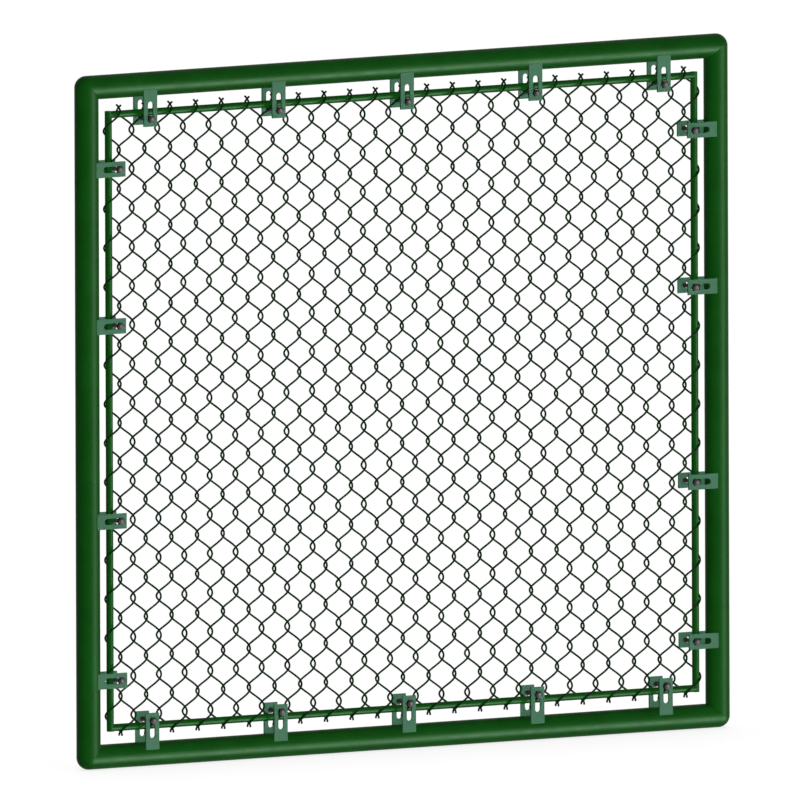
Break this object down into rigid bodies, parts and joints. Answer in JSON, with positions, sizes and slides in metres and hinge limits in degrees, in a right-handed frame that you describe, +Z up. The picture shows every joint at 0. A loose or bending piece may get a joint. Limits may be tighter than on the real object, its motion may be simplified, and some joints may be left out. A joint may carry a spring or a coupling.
{
  "type": "chain link fence panel",
  "caption": "Upright chain link fence panel: round tube frame with ball corners, inner rods threaded through woven wire fabric, and slotted plate brackets bolted over the rods.",
  "frame": {"origin": "underside of the lower tube, at the middle of its length and on the panel's mid-plane", "axes": "+X along the panel to the right seen from the front, +Y away from the front, +Z up"},
  "size_m": [1.85, 0.0719, 1.72],
  "materials": {
    "frame_paint": "satin",
    "rod_paint": "satin",
    "bracket_paint": "satin",
    "fabric_wire": "satin",
    "fastener_steel": "satin"
  },
  "bodies": {
    "root": {"bottom_bolts": "fastener_steel", "bottom_bracket_1": "bracket_paint", "bottom_bracket_2": "bracket_paint", "bottom_bracket_3": "bracket_paint", "bottom_bracket_4": "bracket_paint", "bottom_bracket_5": "bracket_paint", "bottom_left_corner": "frame_paint", "bottom_nuts": "fastener_steel", "bottom_right_corner": "frame_paint", "bottom_rod": "rod_paint", "bottom_tube": "frame_paint", "fabric_left": "fabric_wire", "fabric_mid_left": "fabric_wire", "fabric_mid_right": "fabric_wire", "fabric_right": "fabric_wire", "left_bolts": "fastener_steel", "left_bracket_1": "bracket_paint", "left_bracket_2": "bracket_paint", "left_bracket_3": "bracket_paint", "left_bracket_4": "bracket_paint", "left_nuts": "fastener_steel", "left_rod": "rod_paint", "left_tube": "frame_paint", "right_bolts": "fastener_steel", "right_bracket_1": "bracket_paint", "right_bracket_2": "bracket_paint", "right_bracket_3": "bracket_paint", "right_bracket_4": "bracket_paint", "right_nuts": "fastener_steel", "right_rod": "rod_paint", "right_tube": "frame_paint", "top_bolts": "fastener_steel", "top_bracket_1": "bracket_paint", "top_bracket_2": "bracket_paint", "top_bracket_3": "bracket_paint", "top_bracket_4": "bracket_paint", "top_bracket_5": "bracket_paint", "top_left_corner": "frame_paint", "top_nuts": "fastener_steel", "top_right_corner": "frame_paint", "top_rod": "rod_paint", "top_tube": "frame_paint"}
  },
  "joints": []
}
